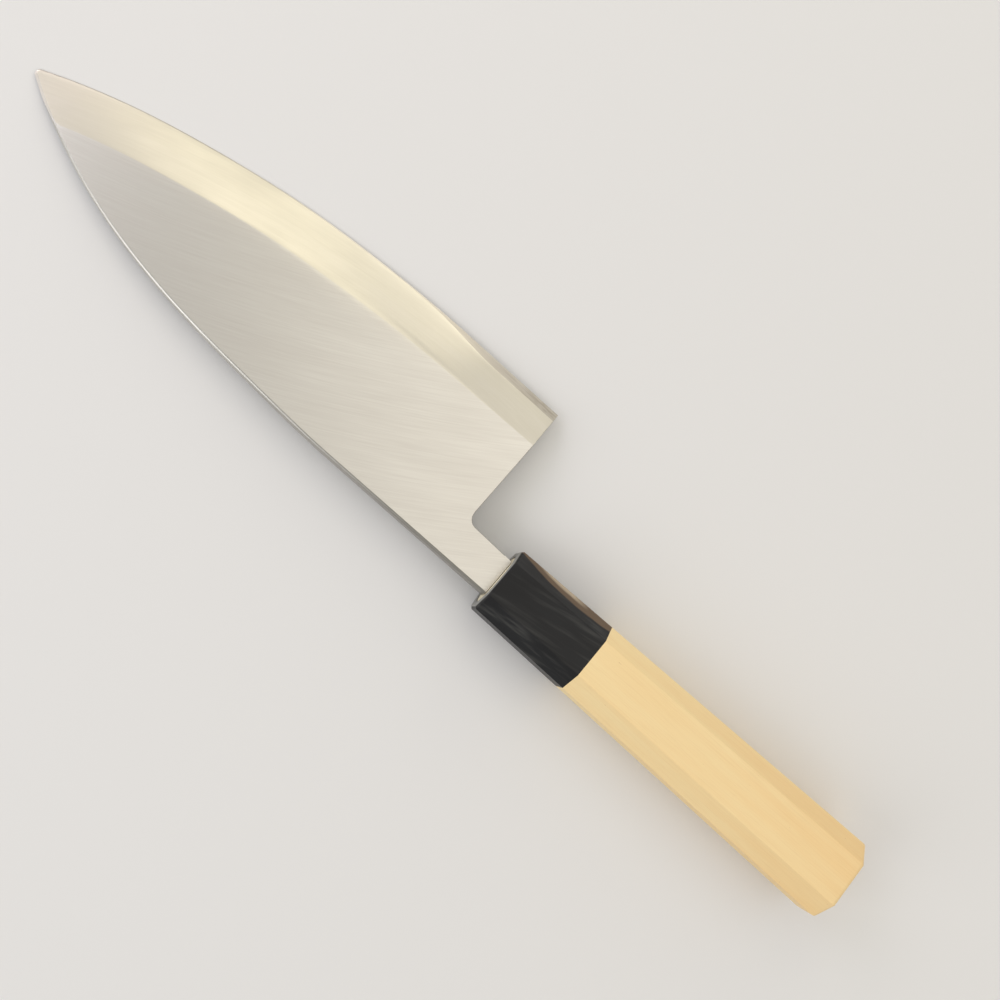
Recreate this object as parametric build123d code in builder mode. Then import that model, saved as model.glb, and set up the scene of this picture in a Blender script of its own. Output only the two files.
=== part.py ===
from build123d import *
from math import radians, tan
import os

# Deba knife: a single-bevel blade of two forge-welded steels, a black horn ferrule and an
# octagonal wooden handle. It is modelled about the handle's axis, then laid on a board.

# While modelling, +X points to the tip, +Y to the spine and +Z out of the bevelled side.
# The origin is the middle of the ferrule's front face, and lengths are in millimetres.

# Handle and ferrule share one tapered octagon, wider and thicker at the butt
handle_length = 136.2
ferrule_length = 34.7
front_width = 21.7
butt_width = 26.25
front_thickness = 18.4
butt_thickness = 21.25
front_corner = 4.9
butt_corner = 5.65
arris_radius = 0.35
mouth_chamfer = 0.8
butt_chamfer = 1.2
butt_second_share = 0.35

# Tenon turned on the handle, which fills the bored ferrule and shows in its mouth
tenon_width = 17.0
tenon_thickness = 14.4
tenon_recess = 0.5
glue_gap = 0.05

# Tang burnt into the handle, a little smaller than the neck
tang_length = 98.0
tang_width = 10.4
tang_thickness = 4.8
tang_end_width = 4.4
tang_end_thickness = 2.6
tang_play = 0.05
tang_end_room = 3.0

# Blade outline, in drops and rises from the handle's axis
# The reach and the tip's drop lead to the corner that the rounding of the tip takes away
neck_length = 17.5
blade_reach = 179.0
heel_drop = 50.0
tip_drop = 22.4
neck_rise = 6.0
neck_drop = 6.4
choil_drop = 7.0
choil_radius = 3.2
tip_radius = 1.55

# Blade thickness, from the flat back up to the bevelled side
back_drop = 2.6
neck_thickness = 5.8
tip_thickness = 2.2
spine_radius = 0.8

# Bevel ground down from a line on the bevelled side to the edge, and the steeper edge bevel
bevel_width = 13.4
edge_bevel_width = 0.35
heel_bevel_width = 2.6
edge_bevel_angle = 35.0

# Hard steel under the whole back, thinner to the tip, ending under the neck
core_heel_thickness = 3.0
core_tip_thickness = 1.1
core_start = 6.0

# Hollow ground into the back, which leaves a flat rim to whet
hollow_depth = 0.45
hollow_end_depth = 0.04
back_rim = 2.4

# What a cut runs past the metal
overrun = 4.0

# The blade at nine places from heel to tip, as shares of the reach, of the edge's climb, of
# the spine's fall, of the bevel's width and of the extra width of the edge bevel at the heel
reach_shares = (0.0, 0.237, 0.4045, 0.5505, 0.6985, 0.824, 0.908, 0.96, 1.0)
edge_climb_shares = (0.0, 0.004, 0.059, 0.162, 0.345, 0.554, 0.741, 0.882, 1.0)
spine_fall_shares = (0.0, 0.0, 0.0415, 0.108, 0.25, 0.474, 0.691, 0.854, 1.0)
bevel_width_shares = (1.0, 1.05, 1.1, 1.13, 1.155, 1.165, 1.18, 1.19, 1.19)
heel_bevel_shares = (1.0, 0.3, 0.04, 0.0, 0.0, 0.0, 0.0, 0.0, 0.0)
heel_bevel_full_share = 0.13

# Places in the reach where the hollow starts, deepens and ends, with its share of the depth
hollow_reach_shares = (0.045, 0.13, 0.405, 0.7, 0.855, 0.92)
hollow_depth_shares = (0.0, 0.75, 1.0, 0.9, 0.5, 0.0)


# Heights of the blade
back_level = -back_drop
tip_x = neck_length + blade_reach
neck_middle = (neck_rise - neck_drop) / 2
neck_mid_level = back_level + neck_thickness / 2


def between(shares, values, share):
    """Value at a share of the reach, read in a straight line between two neighbours."""
    for index in range(1, len(shares)):
        if share <= shares[index]:
            break
    part_share = (share - shares[index - 1]) / (shares[index] - shares[index - 1])
    return values[index - 1] + (values[index] - values[index - 1]) * part_share


def edge_at(share):
    """Place of the cutting edge across the blade, at a share of the reach."""
    return -heel_drop + between(reach_shares, edge_climb_shares, share) * (heel_drop - tip_drop)


def spine_at(share):
    """Place of the spine across the blade, at a share of the reach."""
    return neck_rise - between(reach_shares, spine_fall_shares, share) * (neck_rise + tip_drop)


def octagon_corners(x, width, thickness, corner):
    """Corners of the handle's section at x, in order round the handle's axis."""
    quarter = [(width / 2, thickness / 2 - corner), (width / 2 - corner, thickness / 2)]
    across = quarter + [(-y, z) for y, z in reversed(quarter)]
    return [Vector(x, y, z) for y, z in across + [(-y, -z) for y, z in across]]


def tang_section(x, share, play=0.0):
    """Section of the tang at a share of its length, or of its hole when play is given."""
    width = tang_width + (tang_end_width - tang_width) * share + 2 * play
    thickness = tang_thickness + (tang_end_thickness - tang_thickness) * share + 2 * play
    with BuildSketch(Plane.YZ.offset(x)) as section:
        with Locations((neck_middle, neck_mid_level)):
            Rectangle(width, thickness)
    return section.sketch


def bevel_section(x, edge_y, width, edge_width):
    """Section of what the two bevels take away, in the plane across the blade at x."""
    top = back_level + neck_thickness + (tip_thickness - neck_thickness) * x / tip_x
    steep = tan(radians(edge_bevel_angle))
    edge_top = back_level + steep * edge_width
    slope = (top - edge_top) / (width - edge_width)
    outside = -heel_drop - 2 * overrun
    with BuildSketch(Plane.YZ.offset(x)) as section:
        with BuildLine():
            Polyline(
                (outside, back_level - steep * (edge_y - outside)),
                (edge_y + edge_width, edge_top),
                (edge_y + width + overrun, top + slope * overrun),
                (outside, top + slope * overrun),
                close=True,
            )
        make_face()
    return section.sketch


def hollow_section(x, middle, half_width, depth):
    """Section of what the wheel hollows out of the back, in the plane across the blade at x."""
    with BuildSketch(Plane.YZ.offset(x)) as section:
        with BuildLine():
            SagittaArc((middle - half_width, back_level), (middle + half_width, back_level), depth)
            Polyline(
                (middle - half_width, back_level),
                (middle - half_width, back_level - overrun),
                (middle + half_width, back_level - overrun),
                (middle + half_width, back_level),
            )
        make_face()
    return section.sketch


# How far the edge climbs over the length of a cut's overrun, at the tip
tip_slope_share = (edge_climb_shares[-1] - edge_climb_shares[-2]) / (reach_shares[-1] - reach_shares[-2])
tip_climb = tip_slope_share * (heel_drop - tip_drop) / blade_reach * overrun

# Sections of both bevels, from outside the heel to past the tip
bevel_sections = []
heel_grind = edge_bevel_width + heel_bevel_width
for x in (neck_length - overrun, neck_length, neck_length + heel_bevel_full_share * blade_reach):
    bevel_sections.append(bevel_section(x, -heel_drop, bevel_width, heel_grind))
for index in range(1, len(reach_shares)):
    share = reach_shares[index]
    edge_grind = edge_bevel_width + heel_bevel_shares[index] * heel_bevel_width
    width = bevel_width * bevel_width_shares[index]
    bevel_sections.append(
        bevel_section(neck_length + share * blade_reach, edge_at(share), width, edge_grind)
    )
bevel_sections.append(
    bevel_section(tip_x + overrun, -tip_drop + tip_climb, bevel_width * bevel_width_shares[-1],
                  edge_bevel_width)
)

# Sections of the hollow in the back
hollow_sections = []
for share, depth_share in zip(hollow_reach_shares, hollow_depth_shares):
    low = edge_at(share) + back_rim
    high = spine_at(share) - back_rim
    depth = hollow_end_depth + (hollow_depth - hollow_end_depth) * depth_share
    hollow_sections.append(
        hollow_section(neck_length + share * blade_reach, (low + high) / 2, (high - low) / 2, depth)
    )

# Plane of the bevelled side, which falls from the neck to the tip
cheek_plane = Plane(
    origin=(0, 0, back_level + neck_thickness),
    x_dir=(tip_x, 0, tip_thickness - neck_thickness),
    z_dir=(neck_thickness - tip_thickness, 0, tip_x),
)

# Plane where the two steels meet, parallel to the back across the blade
weld_plane = Plane(
    origin=(neck_length, 0, back_level + core_heel_thickness),
    x_dir=(blade_reach, 0, core_tip_thickness - core_heel_thickness),
    z_dir=(core_heel_thickness - core_tip_thickness, 0, blade_reach),
)

# Forged blank with the tang: outline, taper, rounded spine, bevels, hollow back
with BuildPart() as blank:
    with BuildSketch(Plane.XY.offset(back_level)) as outline:
        with BuildLine() as outline_line:
            spine_points = []
            for share in reach_shares[1:]:
                spine_points.append((neck_length + share * blade_reach, spine_at(share)))
            spine_start = (0, neck_rise)
            Line(spine_start, spine_points[0])
            tip_line = Vector(spine_points[-1]) - Vector(spine_points[-2])
            Spline(spine_points[:-1], tangents=[(1, 0), tip_line])
            Polyline(
                spine_points[-2],
                spine_points[-1],
                (tip_x - overrun, -tip_drop - tip_climb - edge_bevel_width),
                (tip_x - overrun, -heel_drop - overrun),
                (neck_length, -heel_drop - overrun),
                (neck_length, -choil_drop),
                (0, -neck_drop),
                spine_start,
            )
        make_face()
        choil = outline.vertices().filter_by_position(Axis.X, neck_length, neck_length)
        fillet(choil.sort_by(Axis.Y)[-1], choil_radius)
        fillet(outline.vertices().sort_by(Axis.X)[-1], tip_radius)
    extrude(amount=neck_thickness + overrun)
    split(bisect_by=cheek_plane, keep=Keep.BOTTOM)
    spine_edges = blank.faces().sort_by(Axis.Z)[-1].edges().sort_by(Axis.Y)
    fillet(spine_edges[-2:], spine_radius)
    loft(sections=bevel_sections, mode=Mode.SUBTRACT)
    loft(sections=hollow_sections, mode=Mode.SUBTRACT)
    loft(sections=[tang_section(0, 0.0), tang_section(-tang_length, 1.0)])

# Hard steel: the back of the blade and the edge
with BuildPart() as cutting_steel:
    add(blank.part)
    split(bisect_by=weld_plane, keep=Keep.BOTTOM)
    split(bisect_by=Plane.YZ.offset(core_start), keep=Keep.TOP)

# Soft steel: the bevelled side, the neck and the tang
with BuildPart() as blade_cladding:
    add(blank.part)
    add(cutting_steel.part, mode=Mode.SUBTRACT)

# Bar planed to the eight tapered flats that the ferrule and the handle share
front_corners = octagon_corners(0, front_width, front_thickness, front_corner)
butt_corners = octagon_corners(-handle_length, butt_width, butt_thickness, butt_corner)
with BuildPart() as bar:
    with BuildSketch(Plane.YZ):
        Rectangle(front_width + butt_width, front_thickness + butt_thickness)
    extrude(amount=-handle_length)
    for index in range(len(front_corners)):
        across = front_corners[index] - front_corners[index - 1]
        along = butt_corners[index] - front_corners[index]
        flat = Plane(origin=front_corners[index], x_dir=across, z_dir=along.cross(across))
        split(bisect_by=flat, keep=Keep.BOTTOM)

# Horn ferrule: the front of the bar, bored through for the tenon
with BuildPart() as ferrule:
    add(bar.part)
    split(bisect_by=Plane.YZ.offset(-ferrule_length), keep=Keep.TOP)
    chamfer(ferrule.faces().sort_by(Axis.X)[-1].edges(), mouth_chamfer)
    fillet(ferrule.edges().sort_by(SortBy.LENGTH)[-len(front_corners):], arris_radius)
    with BuildSketch(Plane.YZ):
        Ellipse(tenon_width / 2 + glue_gap, tenon_thickness / 2 + glue_gap)
    extrude(amount=-ferrule_length, mode=Mode.SUBTRACT)

# Handle: the rest of the bar, its tenon and the hole burnt by the tang
with BuildPart() as handle_body:
    add(bar.part)
    split(bisect_by=Plane.YZ.offset(-ferrule_length), keep=Keep.BOTTOM)
    for easing in (butt_chamfer, butt_chamfer * butt_second_share):
        chamfer(handle_body.faces().sort_by(Axis.X)[0].edges(), easing)
    fillet(handle_body.edges().sort_by(SortBy.LENGTH)[-len(front_corners):], arris_radius)
    with BuildSketch(Plane.YZ.offset(-ferrule_length)):
        Ellipse(tenon_width / 2, tenon_thickness / 2)
    extrude(amount=ferrule_length - tenon_recess)
    loft(
        sections=[
            tang_section(0, 0.0, tang_play),
            tang_section(-tang_length - tang_end_room, 1.0, tang_play),
        ],
        mode=Mode.SUBTRACT,
    )

# The knife lies on the belly of its edge and on a lower corner of the ferrule's mouth
belly_index = 5
edge_points = [
    Vector(neck_length + share * blade_reach, edge_at(share), back_level) for share in reach_shares
]
belly_run = edge_points[belly_index + 1] - edge_points[belly_index - 1]
belly_point = edge_points[belly_index]
ferrule_point = Vector(-mouth_chamfer, front_corner - front_width / 2, -front_thickness / 2)
board_normal = belly_run.cross(ferrule_point - belly_point).normalized()
along_handle = Vector(1, 0, 0) - board_normal * board_normal.X
board = Plane(origin=belly_point, x_dir=along_handle, z_dir=board_normal)

pieces = {
    "blade_cladding": blade_cladding.part,
    "cutting_steel": cutting_steel.part,
    "ferrule": ferrule.part,
    "handle_body": handle_body.part,
}
for piece in pieces.values():
    piece.move(board.location.inverse())

# The origin is the middle of the knife's footprint on the board, and +Z points up
footprint = Compound(list(pieces.values())).bounding_box()
centre_on_board = Location((-footprint.center().X, -footprint.center().Y, -footprint.min.Z))

os.makedirs("parts", exist_ok=True)
for name, piece in pieces.items():
    piece.move(centre_on_board)
    piece.label = name
    export_step(piece, "parts/" + name + ".step")
    print(name, piece.is_valid, len(piece.solids()), round(piece.volume, 1))
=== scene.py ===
"""The deba knife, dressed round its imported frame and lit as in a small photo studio.

A knife maker's words are used: the cheek is the flat of the bevelled side, the bevel falls
from the cheek to the edge, the choil is the inner corner between the neck and the heel, and
the hollow is ground into the back. Pieces are drawn about the handle's axis in millimetres
and are then laid on the board where the frame has them.
"""

import logging
import math
from collections.abc import Callable
from dataclasses import dataclass
from enum import IntEnum

import bpy
import numpy as np
from mathutils import Matrix, Vector


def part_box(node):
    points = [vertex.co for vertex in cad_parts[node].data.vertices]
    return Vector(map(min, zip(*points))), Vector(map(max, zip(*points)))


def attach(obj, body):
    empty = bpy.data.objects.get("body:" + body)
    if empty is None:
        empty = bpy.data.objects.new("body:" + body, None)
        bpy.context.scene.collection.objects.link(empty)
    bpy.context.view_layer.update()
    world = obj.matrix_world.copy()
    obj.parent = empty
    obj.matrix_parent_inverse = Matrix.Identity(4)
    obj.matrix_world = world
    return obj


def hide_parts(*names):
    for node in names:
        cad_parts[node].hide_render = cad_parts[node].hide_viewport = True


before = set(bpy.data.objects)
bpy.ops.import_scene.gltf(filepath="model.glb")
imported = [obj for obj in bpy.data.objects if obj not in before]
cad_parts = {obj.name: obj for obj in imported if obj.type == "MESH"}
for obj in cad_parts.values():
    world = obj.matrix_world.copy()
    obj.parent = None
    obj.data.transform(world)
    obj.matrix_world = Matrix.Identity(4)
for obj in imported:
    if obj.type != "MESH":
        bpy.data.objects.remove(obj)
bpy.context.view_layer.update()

LOG = logging.getLogger("deba_knife")
BODY = "root"
MM = 0.001
# In millimetres: points this near are one point, and a face this near the weld lies on it
MERGE_DISTANCE = 0.0005
WELD_CLOSENESS = 0.001
# The least part of a direction, so that nothing is divided by zero
NEARLY_ZERO = 1e-9
# How often a search halves its stretch
HALVINGS = 32
# The least angle at which an arris stays crisp
CRISP_ANGLE = math.radians(20)
# Finer layers in the noise of every finish
NOISE_DETAIL = 2.0

Ring = list[Vector]
Piece = bpy.types.Object
Material = bpy.types.Material
Tree = bpy.types.NodeTree
Socket = bpy.types.NodeSocket


def linear(hex_colour: str) -> tuple[float, float, float, float]:
    """Turns an sRGB hex colour to the linear one that the shaders take.

    Args:
        hex_colour: Six hex digits after a hash mark.

    Returns:
        Linear red, green and blue, and an alpha of 1.
    """
    channels = [int(hex_colour[start:start + 2], 16) / 255 for start in (1, 3, 5)]
    lit = [c / 12.92 if c <= 0.04045 else ((c + 0.055) / 1.055) ** 2.4 for c in channels]
    return (lit[0], lit[1], lit[2], 1.0)


def add_node(
    tree: Tree,
    kind: str,
    settings: dict[str | int, object] | None = None,
    links: dict[str | int, Socket] | None = None,
) -> bpy.types.Node:
    """Adds a node with its settings and its links.

    Args:
        tree: The node tree that gets the node.
        kind: The node's type.
        settings: Values, each by the name of a property or the name or number of an input.
        links: Output sockets, each by the name or number of the input that it feeds.

    Returns:
        The new node.
    """
    node = tree.nodes.new(kind)
    for key, value in (settings or {}).items():
        if isinstance(key, str) and hasattr(node, key):
            setattr(node, key, value)
        else:
            node.inputs[key].default_value = value
    for key, socket in (links or {}).items():
        tree.links.new(socket, node.inputs[key])
    return node


def new_material(name: str) -> tuple[Material, Tree, bpy.types.Node]:
    """Starts a material that has only its output node.

    Args:
        name: The material's name.

    Returns:
        The material, its node tree and its output node.
    """
    material = bpy.data.materials.new(name)
    material.use_nodes = True
    tree = material.node_tree
    tree.nodes.clear()
    return material, tree, add_node(tree, "ShaderNodeOutputMaterial")


@dataclass(frozen=True)
class FairCurve:
    """A smooth line through chosen places, with its slope given at both ends."""

    places: tuple[float, ...]
    values: tuple[float, ...]
    start_slope: float = 0.0
    end_slope: float = 0.0

    def slopes(self) -> np.ndarray:
        """Works out the slopes at the places, which make the line bend without a break.

        Returns:
            The slope at each place.
        """
        gaps = np.diff(self.places)
        rises = np.diff(self.values) / gaps
        count = len(self.places)
        system = np.eye(count)
        target = np.zeros(count)
        target[0], target[-1] = self.start_slope, self.end_slope
        for index in range(1, count - 1):
            before, after = gaps[index - 1], gaps[index]
            system[index, index - 1:index + 2] = (after, 2 * (before + after), before)
            target[index] = 3 * (after * rises[index - 1] + before * rises[index])
        return np.linalg.solve(system, target)

    def at(self, place: float) -> float:
        """Reads the line at a place, and runs straight on beyond its ends.

        Args:
            place: Where to read it.

        Returns:
            The line's value there.
        """
        nodes, values, slopes = self.places, self.values, self.slopes()
        held = min(max(place, nodes[0]), nodes[-1])
        index = min(max(int(np.searchsorted(nodes, held)) - 1, 0), len(nodes) - 2)
        gap = nodes[index + 1] - nodes[index]
        t = (held - nodes[index]) / gap
        start = values[index] * (1 + 2 * t) + gap * t * slopes[index]
        end = values[index + 1] * (3 - 2 * t) - gap * (1 - t) * slopes[index + 1]
        beyond = (place - held) * (slopes[0] if place < held else slopes[-1])
        return float((1 - t) ** 2 * start + t**2 * end + beyond)


def deselect_all() -> None:
    """Leaves nothing selected, because the frame's nodes start selected."""
    bpy.ops.object.select_all(action="DESELECT")


def make_active(piece: Piece) -> None:
    """Selects one piece alone and makes it the active one.

    Args:
        piece: The piece that the next operator works on.
    """
    deselect_all()
    piece.select_set(True)
    bpy.context.view_layer.objects.active = piece


def skin(name: str, rings: list[Ring], strips: list[int] | None = None,
         finishes: list[Material] | None = None) -> Piece:
    """Rolls a grid round a row of sections, as a skin is laid over frames.

    Args:
        name: The new piece's name.
        rings: Sections with as many points each, in order along the piece.
        strips: Material slot of each strip between two points of the sections.
        finishes: Material of each slot.

    Returns:
        The piece, closed round its sections and open at its first and last one.
    """
    deselect_all()
    lengths, turns = len(rings) - 1, len(rings[0])
    # The grid runs from -1 to 1 both ways, so a place on it tells the section and the point
    bpy.ops.mesh.primitive_grid_add(x_subdivisions=lengths, y_subdivisions=turns, size=2)
    piece = bpy.context.object
    piece.name = name
    for finish in finishes or []:
        piece.data.materials.append(finish)
    if strips:
        for face in piece.data.polygons:
            face.material_index = strips[int((face.center.y + 1) / 2 * turns)]
    for vertex in piece.data.vertices:
        station = round((vertex.co.x + 1) / 2 * lengths)
        turn = round((vertex.co.y + 1) / 2 * turns)
        vertex.co = rings[station][turn % turns]
    close_up(piece)
    return piece


def close_up(piece: Piece, cap: bool = False) -> None:
    """Merges the points of a piece that lie in one place, and turns its faces outwards.

    Args:
        piece: The piece to close.
        cap: Whether its open ends get a face.
    """
    make_active(piece)
    bpy.ops.object.mode_set(mode="EDIT")
    bpy.ops.mesh.select_all(action="SELECT")
    bpy.ops.mesh.remove_doubles(threshold=MERGE_DISTANCE)
    bpy.ops.mesh.dissolve_degenerate(threshold=MERGE_DISTANCE)
    if cap:
        bpy.ops.mesh.select_all(action="SELECT")
        bpy.ops.mesh.fill_holes(sides=0)
    bpy.ops.mesh.select_all(action="SELECT")
    bpy.ops.mesh.normals_make_consistent(inside=False)
    bpy.ops.object.mode_set(mode="OBJECT")


def join(pieces: list[Piece]) -> Piece:
    """Joins pieces into the first of them.

    Args:
        pieces: The pieces, the one that stays first.

    Returns:
        The joined piece.
    """
    make_active(pieces[0])
    for piece in pieces:
        piece.select_set(True)
    bpy.ops.object.join()
    return pieces[0]


def cut(piece: Piece, cutter: Piece, operation: str) -> None:
    """Cuts a piece with a closed solid, and applies the cut.

    Args:
        piece: The piece to cut.
        cutter: The solid that cuts it.
        operation: INTERSECT to keep what is inside the solid, or DIFFERENCE.
    """
    make_active(piece)
    modifier = piece.modifiers.new("cut", "BOOLEAN")
    modifier.object = cutter
    modifier.operation = operation
    modifier.solver = "EXACT"
    bpy.ops.object.modifier_apply(modifier=modifier.name)


def lay(piece: Piece, lie: Matrix, node: str) -> Piece:
    """Gives a finished piece its place in the frame.

    Args:
        piece: The piece, drawn in millimetres.
        lie: The matrix from the drawing to the frame.
        node: The frame's node that it stands for.

    Returns:
        The piece.
    """
    piece.data.transform(lie)
    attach(piece, BODY)
    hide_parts(node)
    return piece


def ellipse_ring(x: float, width: float, thickness: float, angles: np.ndarray) -> Ring:
    """Section of a round-ended tenon or bore.

    Args:
        x: The section's place along the handle.
        width: Its whole width.
        thickness: Its whole thickness.
        angles: Directions of its points from the handle's axis.

    Returns:
        The section's points.
    """
    across, up = width / 2, thickness / 2
    reach = 1 / np.hypot(np.cos(angles) / across, np.sin(angles) / up)
    return [Vector((x, r * math.cos(a), r * math.sin(a))) for a, r in zip(angles, reach)]


def box_ring(x: float, width: float, thickness: float, centre: tuple[float, float],
             angles: np.ndarray) -> Ring:
    """Section of a square-cornered tang or hole.

    Args:
        x: The section's place along the handle.
        width: Its whole width.
        thickness: Its whole thickness.
        centre: Its middle across the handle.
        angles: Directions of its points from that middle.

    Returns:
        The section's points.
    """
    across, up = np.cos(angles), np.sin(angles)
    sideways, upwards = (np.maximum(np.abs(part), NEARLY_ZERO) for part in (across, up))
    reach = np.minimum(width / 2 / sideways, thickness / 2 / upwards)
    return [
        Vector((x, centre[0] + r * c, centre[1] + r * s)) for r, c, s in zip(reach, across, up)
    ]


@dataclass
class Axes:
    """Places of the knife on the board, from the points that it rests on and its ends."""

    heel: Vector
    belly: tuple[Vector, Vector, Vector]
    tip: Vector
    mouth_corner: Vector

    def to_frame(self) -> Matrix:
        """Works out how a piece drawn in millimetres about the handle's axis lies in the frame.

        Returns:
            The matrix from the drawing to the frame.
        """
        before, touching, after = self.belly
        normal = (after - before).cross(self.mouth_corner - touching).normalized()
        along = (Vector((1, 0, 0)) - normal * normal.x).normalized()
        turn = Matrix((along, normal.cross(along), normal))
        low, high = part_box("cutting_steel")
        mouth_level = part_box("ferrule")[0].z
        heel, tip, corner = (turn @ point * MM for point in (self.heel, self.tip, self.mouth_corner))
        place = Vector((high.x - tip.x, low.y - heel.y, mouth_level - corner.z))
        return Matrix.Translation(place) @ turn.to_4x4() @ Matrix.Scale(MM, 4)


class Side(IntEnum):
    """Finished sides of the blade, numbered as the material slots of its pieces."""

    SPINE = 0
    CHEEK = 1
    BEVEL = 2
    EDGE_BEVEL = 3
    RIM = 4
    HOLLOW = 5
    TANG = 6


def smooth_min(first: float, second: float, blend: float) -> float:
    """Takes the lower of two heights, rounded off where they nearly meet.

    Args:
        first: One height.
        second: The other height.
        blend: How near they have to be for the rounding.

    Returns:
        The lower height, or a little less near the meeting.
    """
    near = max(blend - abs(first - second), 0.0)
    return min(first, second) - near**2 / (4 * blend)


def arch(share: float) -> float:
    """Height of a low arch, which is 0 at both ends and 1 in the middle."""
    return 4 * share * (1 - share)


def crossing(height: Callable[[float], float], level: float, low: float, high: float) -> float:
    """Finds where a climbing surface reaches a level.

    Args:
        height: The surface's height at a place.
        level: The level that it reaches.
        low: A place before the crossing.
        high: A place after the crossing.

    Returns:
        The place, or the nearer end where the surface never reaches the level.
    """
    for _ in range(HALVINGS):
        middle = (low + high) / 2
        if height(middle) < level:
            low = middle
        else:
            high = middle
    return (low + high) / 2


@dataclass
class Blade:
    """Laminated single-bevel blade with its neck and tang, in two welded steels."""

    neck_length: float = 17.5
    reach: float = 179.0
    heel_drop: float = 50.0
    tip_drop: float = 22.4
    tip_radius: float = 1.37
    neck_rise: float = 6.0
    neck_drop: float = 6.4
    choil_drop: float = 7.0
    choil_radius: float = 3.2
    back_level: float = -2.6
    neck_thickness: float = 5.8
    tip_thickness: float = 2.2
    spine_radius: float = 0.9
    bevel_width: float = 13.4
    bevel_bulge: FairCurve = FairCurve((0.0, 0.25, 0.45, 1.0), (0.03, 0.03, 0.1, 0.1))
    edge_bevel_width: float = 0.35
    heel_bevel_width: float = 2.6
    edge_bevel_angle: float = 24.0
    heel_bevel_angle: float = 35.0
    arris_width: float = 0.03
    core_heel_thickness: float = 3.0
    core_tip_thickness: float = 1.1
    core_start: float = 6.0
    hollow_depth: float = 0.45
    back_rim: float = 2.4
    least_rims: int = 3
    tang_length: float = 98.0
    tang_width: float = 10.4
    tang_thickness: float = 4.8
    tang_end_width: float = 4.4
    tang_end_thickness: float = 2.6
    eased_width: float = 0.15
    station_gap: float = 1.4
    tip_steps: int = 8
    core_rows: int = 5
    bevel_rows: int = 6
    cheek_rows: int = 5
    spine_rows: int = 8
    wall_rows: int = 3
    upper_hollow_rows: int = 6
    lower_hollow_rows: int = 12
    choil_steps: int = 12
    neck_steps: int = 5
    # Each curve runs over shares of the reach, from 0 at the heel to 1 at the tip's corner
    edge_climb: FairCurve = FairCurve(
        (0.13, 0.237, 0.4045, 0.5505, 0.6985, 0.824, 0.908, 0.96),
        (0.0, 0.004, 0.059, 0.162, 0.345, 0.554, 0.741, 0.882), 0.0, 2.95,
    )
    spine_fall: FairCurve = FairCurve(
        (0.237, 0.4045, 0.5505, 0.6985, 0.824, 0.908, 0.96),
        (0.0, 0.0415, 0.108, 0.25, 0.474, 0.691, 0.854), 0.0, 3.65,
    )
    bevel_spread: FairCurve = FairCurve(
        (0.0, 0.237, 0.4045, 0.5505, 0.6985, 0.824, 1.0),
        (1.0, 1.05, 1.1, 1.13, 1.155, 1.165, 1.19), 0.25, 0.1,
    )
    ridge_width: FairCurve = FairCurve(
        (0.0, 0.1, 0.25, 0.4, 0.6, 1.0), (0.12, 0.3, 1.4, 1.4, 0.5, 0.6),
    )
    heel_spread: FairCurve = FairCurve((0.13, 0.237, 0.4045, 0.5505), (1.0, 0.3, 0.04, 0.0))
    hollow_spread: FairCurve = FairCurve(
        (0.045, 0.13, 0.405, 0.7, 0.855, 0.92), (0.0, 0.75, 1.0, 0.9, 0.5, 0.0),
    )
    # The edge touches the board at the middle one of these
    belly_shares: tuple[float, float, float] = (0.6985, 0.824, 0.908)
    rim_angle: float = 60.0

    @property
    def tip_x(self) -> float:
        """Place along the handle's axis of the corner that the tip's rounding takes away."""
        return self.neck_length + self.reach

    @property
    def tip_angles(self) -> tuple[float, float]:
        """Angles to the handle's axis of the spine and of the edge, where they near the tip.

        Returns:
            How steeply the spine falls and the edge climbs, in radians.
        """
        fall = self.spine_fall.end_slope * (self.neck_rise + self.tip_drop)
        climb = self.edge_climb.end_slope * (self.heel_drop - self.tip_drop)
        return math.atan2(fall, self.reach), math.atan2(climb, self.reach)

    @property
    def tip_centre(self) -> tuple[float, float]:
        """Middle of the tip's rounding, which touches the spine and the edge.

        Returns:
            Its places along the handle's axis and across the blade.
        """
        down, up = self.tip_angles
        away = self.tip_radius / math.sin((down + up) / 2)
        lean = (down - up) / 2
        return self.tip_x - away * math.cos(lean), away * math.sin(lean) - self.tip_drop

    def share_at(self, x: float) -> float:
        """Share of the reach at a place along the handle's axis."""
        return (x - self.neck_length) / self.reach

    def edge_y(self, x: float) -> float:
        """Place of the edge across the blade, on its curve or on the tip's rounding.

        Args:
            x: Place along the handle's axis.

        Returns:
            The edge's place.
        """
        centre_x, centre_y = self.tip_centre
        if x - centre_x > self.tip_radius * math.sin(self.tip_angles[1]):
            return centre_y - math.sqrt(max(self.tip_radius**2 - (x - centre_x) ** 2, 0.0))
        climb = max(self.edge_climb.at(self.share_at(x)), 0.0)
        return -self.heel_drop + climb * (self.heel_drop - self.tip_drop)

    def spine_y(self, x: float) -> float:
        """Place of the spine across the blade, on its curve or on the tip's rounding.

        Args:
            x: Place along the handle's axis.

        Returns:
            The spine's place.
        """
        centre_x, centre_y = self.tip_centre
        if x - centre_x > self.tip_radius * math.sin(self.tip_angles[0]):
            return centre_y + math.sqrt(max(self.tip_radius**2 - (x - centre_x) ** 2, 0.0))
        fall = max(self.spine_fall.at(self.share_at(x)), 0.0)
        return self.neck_rise - fall * (self.neck_rise + self.tip_drop)

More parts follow.
